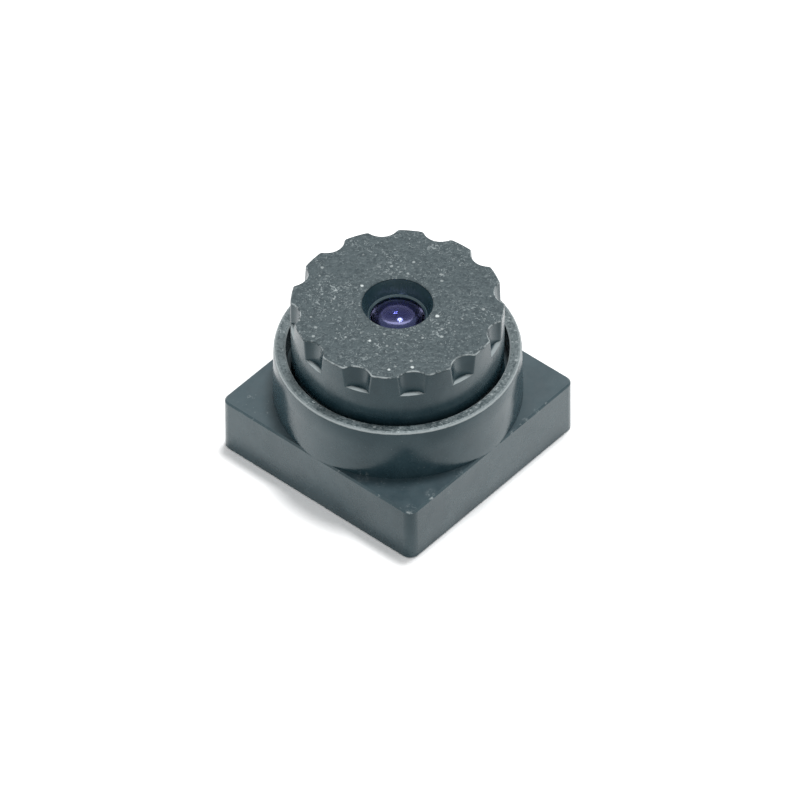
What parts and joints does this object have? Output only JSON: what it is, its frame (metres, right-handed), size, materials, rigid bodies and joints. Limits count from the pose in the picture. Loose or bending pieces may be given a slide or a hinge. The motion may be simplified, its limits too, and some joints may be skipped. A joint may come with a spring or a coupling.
{
  "type": "miniature board camera lens with holder",
  "caption": "Miniature board camera lens: a fluted, screw-in barrel with a coated domed front element, in a square moulded holder that stands over an image sensor.",
  "frame": {"origin": "centre of the holder's underside, where it stands on the circuit board", "axes": "+Z along the optical axis towards the scene, X and Y square to the holder's sides"},
  "size_m": [0.0086, 0.0086, 0.0062],
  "materials": {
    "holder_plastic": "semi-matte moulded black plastic with a green-grey cast",
    "barrel_plastic": "moulded black plastic, spark-eroded texture on the top face, smooth flutes and band",
    "coated_glass": "polished, with a blue-violet anti-reflection coating",
    "inner_glass": "polished, with a faint green anti-reflection coating",
    "filter_glass": "polished infrared-cut filter glass, pale cyan with a red sheen",
    "adhesive": "cured clear adhesive",
    "black_film": "dull black film",
    "black_ring": "dull black plastic"
  },
  "bodies": {
    "holder": {"lens_holder": "holder_plastic", "filter_plate": "filter_glass", "filter_bead": "adhesive"},
    "optics": {"front_element": "coated_glass", "aperture_stop": "black_film", "second_element": "inner_glass", "spacer_ring": "black_ring", "third_element": "inner_glass", "light_baffle": "black_film", "fourth_element": "inner_glass"},
    "barrel": {"lens_barrel": "barrel_plastic", "retainer_ring": "black_ring"}
  },
  "joints": [
    {"name": "focus_travel", "type": "slide", "parent": "holder", "child": "optics", "axis": [0, 0, 1], "range_m": [-0.0007, 0.00035]},
    {"name": "focus_turn", "type": "hinge", "parent": "optics", "child": "barrel", "pos_m": [0, 0, 0.00422], "axis": [0, 0, 1], "range_deg": [-720, 360]}
  ],
  "couplings": [
    {"joint": "focus_turn", "follows": "focus_travel", "rad_per_m": 17952}
  ]
}
